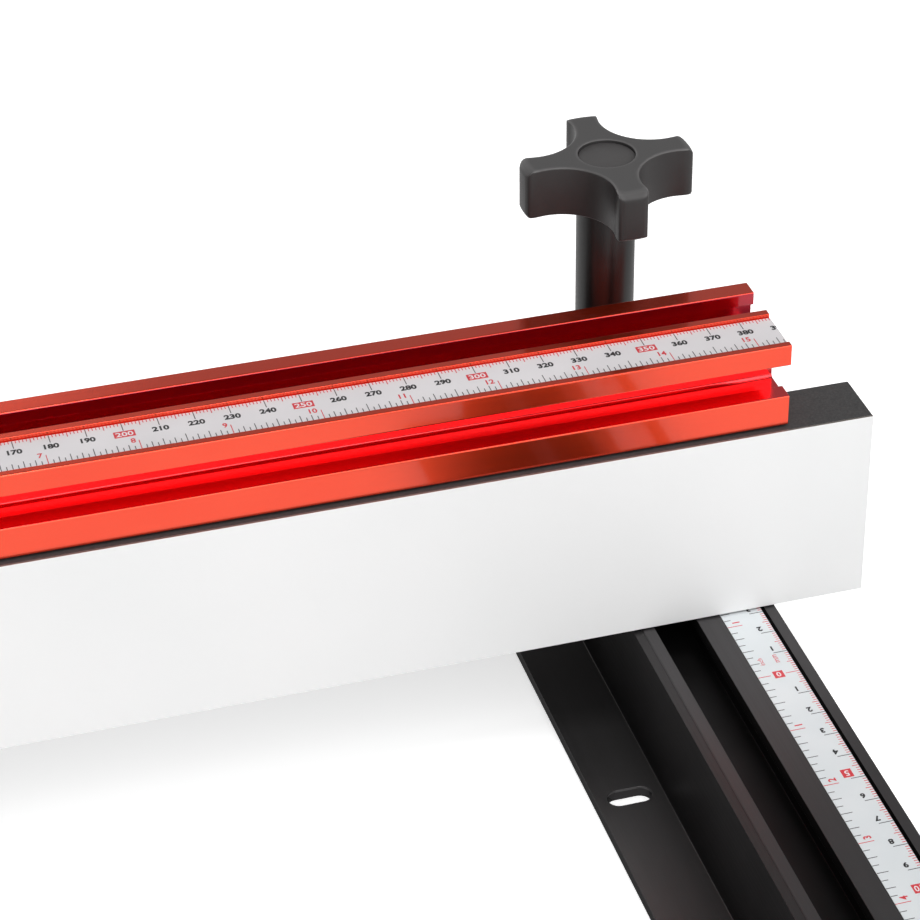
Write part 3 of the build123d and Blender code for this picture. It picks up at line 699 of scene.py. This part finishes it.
# Moulded knobs
class ArmKnob:
    """A four-arm knob about Z, standing on Z = 0, as corner and face lists. Sizes in millimetres.
    A round scallop lies between each two arms. recess, in the top, and bore, from below, are (radius, depth).
    corner rounds the arms' corners seen from above, (across, along) the arm."""

    # Columns of corners across an arm, rings around the middle, and steps along rounded edges and scallops
    columns = 11
    rings = 4
    edge_steps = 4
    rim_steps = 9
    scallop_steps = 40
    scallop_sweep = 1.6
    least_row = 0.15

    recess_round = 0.35
    under_rim = 1.2
    under_edge_share = 0.8

    def __init__(self, reach, core, arm_width, thickness, rim, edge, recess, bore, corner):
        self.reach = reach
        self.thickness = thickness
        self.edge = edge
        self.recess = recess
        self.bore = bore
        self.corner = corner
        tip_x = math.sqrt(reach**2 - (arm_width / 2) ** 2)
        diagonal = (tip_x + arm_width / 2) * math.sqrt(2)
        self.scallop = (reach**2 - diagonal * core + core**2) / (diagonal - 2 * core)
        self.centre_r = core + self.scallop
        self.wide = self.scallop + edge
        self.inner_core = core - edge
        self.around = 4 * (self.columns - 1)
        steps = self.edge_steps
        self.insets = [edge * (1 - math.cos(math.pi / 2 * i / steps)) for i in range(steps)]
        self.rounds = {True: (rim, edge), False: (min(rim, self.under_rim), edge * self.under_edge_share)}
        self.rows = self.arm_rows(rim)
        self.verts = []
        self.faces = []
        self.lookup = {}
        top_rim = self.side(top=True)
        bottom_rim = self.side(top=False)
        self.join_rings(bottom_rim, top_rim)
        self.sink_recess()
        self.sink(top=False, profile=[bore])

    def arm_rows(self, rim):
        """Radii of the rows of corners along an arm, even along the scallop and then round the rim."""
        rows = []
        for i in range(1, self.scallop_steps):
            swing = i / self.scallop_steps * self.scallop_sweep
            r = math.hypot(self.centre_r - self.wide * math.cos(swing), self.wide * math.sin(swing))
            if r > self.reach - rim:
                break
            rows.append(r)
        if self.reach - rim - rows[-1] < self.least_row:
            rows.pop()
        steps = self.rim_steps
        return rows + [self.reach - rim + rim * math.sin(math.pi / 2 * i / steps) for i in range(steps + 1)]

    def wall_angle(self, r):
        """Half the angle that an arm takes up at a radius, up to its edge's inner side."""
        across, along = self.corner
        cosine = (r**2 + self.centre_r**2 - self.wide**2) / (2 * r * self.centre_r)
        over = max(0.0, r - (self.reach - along)) / along
        fall = across * (1 - math.sqrt(max(0.0, 1 - over**2)))
        return math.pi / 4 - math.acos(max(-1.0, min(1.0, cosine))) - fall / r

    def height(self, top, r, wall_distance):
        """The surface's height on one side, which falls away at the rim and beside the scallops' walls."""
        rim, edge = self.rounds[top]
        fall = 0.0
        over = r - (self.reach - rim)
        if over > 0:
            fall = rim - math.sqrt(max(0.0, rim**2 - over**2))
        if wall_distance < edge:
            fall = max(fall, edge - math.sqrt(max(0.0, edge**2 - (edge - wall_distance) ** 2)))
        return self.thickness - fall if top else fall

    def vertex(self, key, x, y, z):
        """A corner's number. Corners with the same key are the same one."""
        if key not in self.lookup:
            self.lookup[key] = len(self.verts)
            self.verts.append((x, y, z))
        return self.lookup[key]

    def around_angle(self, i):
        return -math.pi / 4 + math.pi / 2 * (i % self.around) / (self.columns - 1)

    def ring_corner(self, top, j, i):
        """A corner of the rings between the middle and the arms."""
        first = self.recess[0] + self.recess_round if top else self.bore[0]
        r = first + (self.inner_core - first) * j / self.rings
        x, y = r * math.cos(self.around_angle(i)), r * math.sin(self.around_angle(i))
        distances = []
        for k in range(4):
            turn = math.pi / 4 + k * math.pi / 2
            away = (x - self.centre_r * math.cos(turn), y - self.centre_r * math.sin(turn))
            distances.append(math.hypot(*away))
        z = self.height(top, r, min(distances) - self.scallop)
        return self.vertex((top, "ring", j, i % self.around), x, y, z)

    def arm_corner(self, top, arm, j, i):
        """A corner of an arm's own grid, in row j and column i. Row -1 is the last ring."""
        if j < 0:
            return self.ring_corner(top, self.rings, arm * (self.columns - 1) + i)
        r = self.rows[j]
        angle = arm * math.pi / 2 + self.wall_angle(r) * (2 * i / (self.columns - 1) - 1)
        z = self.height(top, r, self.edge)
        return self.vertex((top, "arm", arm, j, i), r * math.cos(angle), r * math.sin(angle), z)

    def edge_corner(self, top, arm, upper, j, k):
        """A corner of the rounded edge beside a scallop, k steps in from the wall. The last step is on the
        arm's own grid."""
        if k == self.edge_steps:
            return self.arm_corner(top, arm, j, self.columns - 1 if upper else 0)
        hand = 1 if upper else -1
        turn = arm * math.pi / 2
        r = self.inner_core if j < 0 else self.rows[j]
        angle = turn + hand * (math.pi / 4 if j < 0 else self.wall_angle(r))
        middle = turn + hand * math.pi / 4
        cx, cy = self.centre_r * math.cos(middle), self.centre_r * math.sin(middle)
        scale = (self.scallop + self.insets[k]) / self.wide
        x = cx + (r * math.cos(angle) - cx) * scale
        y = cy + (r * math.sin(angle) - cy) * scale
        key = (top, "edge", arm, upper, j, k)
        if j < 0:
            key = (top, "middle", arm if upper else (arm - 1) % 4, k)
        return self.vertex(key, x, y, self.height(top, r, self.insets[k]))

    def patch(self, corner, rows, steps, outward):
        """Faces over a grid of corners, which are turned over where outward is false."""
        for j in rows:
            for i in range(steps):
                face = [corner(j, i), corner(j + 1, i), corner(j + 1, i + 1), corner(j, i + 1)]
                self.faces.append(face if outward else face[::-1])

    def side(self, top):
        """The whole face on one side, out to the wall. Returns its rim as a loop of corners."""
        self.patch(partial(self.ring_corner, top), range(self.rings), self.around, top)
        last = len(self.rows) - 1
        rows = range(-1, last)
        rim = []
        for arm in range(4):
            grid = partial(self.arm_corner, top, arm)
            upper = partial(self.edge_corner, top, arm, True)
            lower = partial(self.edge_corner, top, arm, False)
            self.patch(grid, rows, self.columns - 1, top)
            self.patch(upper, rows, self.edge_steps, not top)
            self.patch(lower, rows, self.edge_steps, top)
            rim += [lower(j, 0) for j in range(last + 1)]
            rim += [lower(last, k) for k in range(1, self.edge_steps)]
            rim += [grid(last, i) for i in range(self.columns)]
            rim += [upper(last, k) for k in reversed(range(1, self.edge_steps))]
            rim += [upper(j, 0) for j in range(last, -2, -1)]
        return rim

    def join_rings(self, first, second):
        count = len(first)
        for i in range(count):
            j = (i + 1) % count
            self.faces.append([first[i], first[j], second[j], second[i]])

    def sink(self, top, profile):
        """Carries the middle ring of one side on through a list of (radius, z), and closes it."""
        order = range(self.around) if top else range(self.around)[::-1]
        previous = [self.lookup[(top, "ring", 0, i)] for i in order]
        for r, z in profile:
            ring = []
            for i in order:
                ring.append(len(self.verts))
                self.verts.append((r * math.cos(self.around_angle(i)), r * math.sin(self.around_angle(i)), z))
            self.join_rings(previous, ring)
            previous = ring
        self.faces.append(previous)

    def sink_recess(self):
        """The round recess in the top, with a brim rounded in three steps."""
        radius, depth = self.recess
        profile = []
        for angle in (0.5, 1.05, 1.57):
            inwards = self.recess_round * (1 - math.sin(angle))
            downwards = self.recess_round * (1 - math.cos(angle))
            profile.append((radius + inwards, self.thickness - downwards))
        floor_z = self.thickness - depth
        self.sink(top=True, profile=profile + [(radius, floor_z), (radius * 0.5, floor_z)])


def turned_shape(profile, segments, flutes=0, depth=0.0):
    """A turned solid about Z, closed at both ends. profile is a list of (radius, z, share of the flutes)."""
    verts, faces = [], []
    for radius, z, share in profile:
        for i in range(segments):
            angle = 2 * math.pi * i / segments
            r = radius - share * depth * (0.5 - 0.5 * math.cos(flutes * angle)) ** 0.7
            verts.append((r * math.cos(angle), r * math.sin(angle), z))
    for k in range(len(profile) - 1):
        for i in range(segments):
            j = (i + 1) % segments
            faces.append([k * segments + i, k * segments + j, (k + 1) * segments + j, (k + 1) * segments + i])
    last = (len(profile) - 1) * segments
    faces.append(list(reversed(range(segments))))
    faces.append([last + i for i in range(segments)])
    return verts, faces


def place_knob(name, shape, matrix, material, body, node):
    """Puts a shape in millimetres in the place of a CAD node."""
    verts, faces = shape
    placed = [tuple(matrix @ (Vector(v) * MM)) for v in verts]
    obj = make_object(name, placed, faces, material, body, smooth=38)
    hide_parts(node)


clamp_knob = ArmKnob(
    reach=26.0, core=12.3, arm_width=11.0, thickness=15.5, rim=2.9, edge=0.6,
    recess=(8.5, 2.0), bore=(4.0, 10.5), corner=(2.0, 3.6),
)

# The small knob's outline: its bore, its stem, its fluted rim and the shallow recess in its face
FACE_KNOB_STEM = 7.0
face_knob = turned_shape([
    (3.05, 7.0, 0), (3.05, -FACE_KNOB_STEM, 0), (5.9, -FACE_KNOB_STEM, 0),
    (6.35, -6.85, 0), (6.5, -6.4, 0), (6.5, -0.9, 0), (6.65, -0.4, 0), (7.2, 0.0, 0),
    (11.6, 0.0, 0.3), (12.9, 0.2, 0.8), (13.6, 0.7, 1.0), (13.9, 1.5, 1.0), (13.9, 7.6, 1.0),
    (13.7, 8.4, 1.0), (13.1, 9.2, 0.9), (12.0, 9.75, 0.6), (10.6, 10.0, 0.2),
    (7.4, 10.0, 0), (7.1, 9.85, 0), (6.9, 9.5, 0), (6.6, 9.4, 0), (2.0, 9.4, 0),
], 144, flutes=12, depth=1.1)


def cap_shape(radius, tall):
    """A round cap with a softly rounded upper edge."""
    return turned_shape([
        (radius, 0.0, 0), (radius, tall - 0.2, 0), (radius - 0.06, tall - 0.06, 0), (radius - 0.2, tall, 0),
        (2.0, tall, 0),
    ], 64)


for side in SIDES:
    low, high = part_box(f"clamp_knob_{side}")
    axis_x, axis_y = (low.x + high.x) / 2, (low.y + high.y) / 2
    on_spacer = Matrix.Translation((axis_x, axis_y, low.z))
    shape = (clamp_knob.verts, clamp_knob.faces)
    place_knob(f"clamp_knob_moulding_{side}", shape, on_spacer, KNOB, f"clamp_{side}", f"clamp_knob_{side}")
    low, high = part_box(f"knob_cap_{side}")
    in_recess = Matrix.Translation((axis_x, axis_y, low.z))
    shape = cap_shape((high.x - low.x) / 2 / MM, (high.z - low.z) / MM)
    place_knob(f"knob_cap_disc_{side}", shape, in_recess, CAP, f"clamp_{side}", f"knob_cap_{side}")
    for place in ("inner", "outer"):
        node = f"face_knob_{side}_{place}"
        low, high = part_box(node)
        centre = ((low.x + high.x) / 2, low.y + FACE_KNOB_STEM * MM, (low.z + high.z) / 2)
        turned = Matrix.Translation(centre) @ Matrix.Rotation(-math.pi / 2, 4, "X")
        place_knob(f"face_knob_moulding_{side}_{place}", face_knob, turned, KNOB, node, node)


# Floor, light and camera
FLOOR_SIZE = 80
NEAR_GLOW = 0.55
FAR_GLOW = 0.74
GLOW_STARTS = 0.6
GLOW_ENDS = 2.0


def floor_material():
    """A pale floor that keeps the object's shadow and looks white to the camera and in reflections."""
    n = Nodes("floor_white")
    path = n.add("ShaderNodeLightPath")

    def lit(glow, albedo):
        """A diffuse floor with a glow that lifts its shadows."""
        diffuse = n.add("ShaderNodeBsdfDiffuse")
        n.feed(diffuse.inputs["Color"], (albedo, albedo, albedo))
        emission = n.add("ShaderNodeEmission")
        n.feed(emission.inputs["Strength"], glow)
        both = n.add("ShaderNodeAddShader")
        n.feed(both.inputs[0], diffuse.outputs["BSDF"])
        n.feed(both.inputs[1], emission.outputs["Emission"])
        return both.outputs["Shader"]

    def choose(factor, a, b):
        """The first shader where the factor is 0 and the second where it is 1."""
        either = n.add("ShaderNodeMixShader")
        n.feed(either.inputs["Fac"], factor)
        n.feed(either.inputs[1], a)
        n.feed(either.inputs[2], b)
        return either.outputs["Shader"]

    mirrored = n.maths("MAXIMUM", path.outputs["Is Glossy Ray"], path.outputs["Is Transmission Ray"])
    unseen = choose(mirrored, lit(glow=0.0, albedo=0.8), lit(glow=0.94, albedo=0.10))
    away = n.add("ShaderNodeVectorMath", operation="LENGTH")
    n.feed(away.inputs[0], n.coord)
    glow = n.span(away.outputs["Value"], NEAR_GLOW, FAR_GLOW, GLOW_STARTS, GLOW_ENDS)
    n.feed(n.out.inputs["Surface"], choose(path.outputs["Is Camera Ray"], unseen, lit(glow, albedo=0.95)))
    return n.material


bpy.ops.mesh.primitive_plane_add(size=FLOOR_SIZE, location=(0, 0, 0))
floor = bpy.context.object
floor.name = "floor"
floor.data.materials.append(floor_material())
floor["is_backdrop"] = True

world = bpy.data.worlds.new("studio")
scene.world = world
world.use_nodes = True
tree = world.node_tree
tree.nodes.clear()
world_out = tree.nodes.new("ShaderNodeOutputWorld")
soft = tree.nodes.new("ShaderNodeBackground")
soft.inputs["Color"].default_value = (1, 1, 1, 1)
soft.inputs["Strength"].default_value = 0.29
tree.links.new(soft.outputs["Background"], world_out.inputs["Surface"])

# Each lamp's place, size and power. All look at one point in the part's right half
LAMPS = {
    "key": ((0.4, -1.5, 1.1), 2.0, 21.6),
    "fill": ((1.5, -0.5, 0.9), 1.2, 7.5),
    "top": ((0.35, -0.35, 1.6), 0.5, 6.2),
    "back": ((-0.2, 1.7, 0.5), 1.2, 7),
}
LAMP_AIM = Vector((0.25, 0.03, 0.08))
for name, (place, size, power) in LAMPS.items():
    data = bpy.data.lights.new(name, "AREA")
    data.energy = power
    data.size = size
    lamp = bpy.data.objects.new(name, data)
    lamp.location = place
    lamp.rotation_mode = "QUATERNION"
    lamp.rotation_quaternion = (LAMP_AIM - Vector(place)).to_track_quat("-Z", "Y")
    scene.collection.objects.link(lamp)

lens = bpy.data.cameras.new("camera")
lens.sensor_width = 36.0
lens.lens = 122.551
lens.shift_x = -0.061078
lens.shift_y = -0.029483
lens.clip_start = 0.05
lens.clip_end = 50
camera = bpy.data.objects.new("camera", lens)
scene.collection.objects.link(camera)
camera.location = (0.094112, -0.670071, 0.595229)
camera.rotation_euler = (math.radians(56.8387), math.radians(0.1093), math.radians(-17.0172))
scene.camera = camera

low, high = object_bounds()
